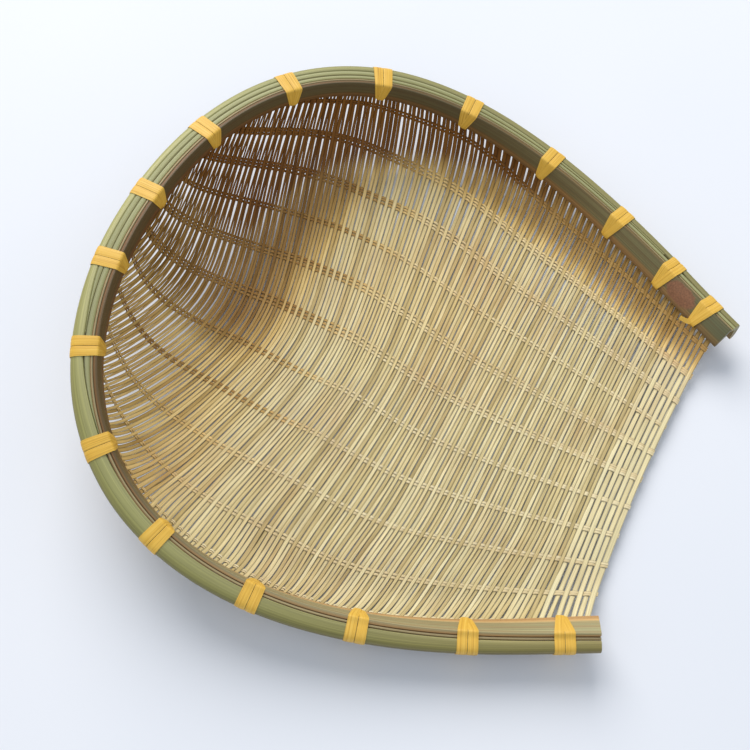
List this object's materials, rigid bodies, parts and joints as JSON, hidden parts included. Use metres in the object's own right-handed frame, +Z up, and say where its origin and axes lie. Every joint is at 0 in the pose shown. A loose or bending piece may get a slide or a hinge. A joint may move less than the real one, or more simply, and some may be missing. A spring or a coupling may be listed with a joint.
{
  "type": "winnowing basket",
  "caption": "Shallow open-mouthed winnowing basket: a woven bamboo bed held between bent bamboo hoops by yellow strip bindings.",
  "frame": {"origin": "on the surface the basket stands on, under the centre of its bounding box", "axes": "+Z up from the flat floor of the basket; the open mouth faces -Y and the deep end is at +Y; X runs across from one arm of the rim to the other"},
  "size_m": [0.3898, 0.3796, 0.0893],
  "materials": {
    "green_bamboo": "smooth green bamboo skin with fine fibre lines, satin",
    "split_bamboo": "planed bamboo slat, part green and part tan, satin",
    "bamboo_weave": "thin straw-coloured bamboo strips in plain weave, matt with a slight sheen",
    "yellow_strip": "yellow fibrous binding strip, satin"
  },
  "bodies": {
    "root": {"outer_hoop": "green_bamboo", "inner_hoop": "split_bamboo", "rim_splint_1": "green_bamboo", "rim_splint_2": "green_bamboo", "rim_splint_3": "green_bamboo", "woven_bed": "bamboo_weave", "lip_weft": "bamboo_weave", "binding_01": "yellow_strip", "binding_02": "yellow_strip", "binding_03": "yellow_strip", "binding_04": "yellow_strip", "binding_05": "yellow_strip", "binding_06": "yellow_strip", "binding_07": "yellow_strip", "binding_08": "yellow_strip", "binding_09": "yellow_strip", "binding_10": "yellow_strip", "binding_11": "yellow_strip", "binding_12": "yellow_strip", "binding_13": "yellow_strip", "binding_14": "yellow_strip", "binding_15": "yellow_strip", "binding_16": "yellow_strip", "binding_17": "yellow_strip"}
  },
  "joints": []
}
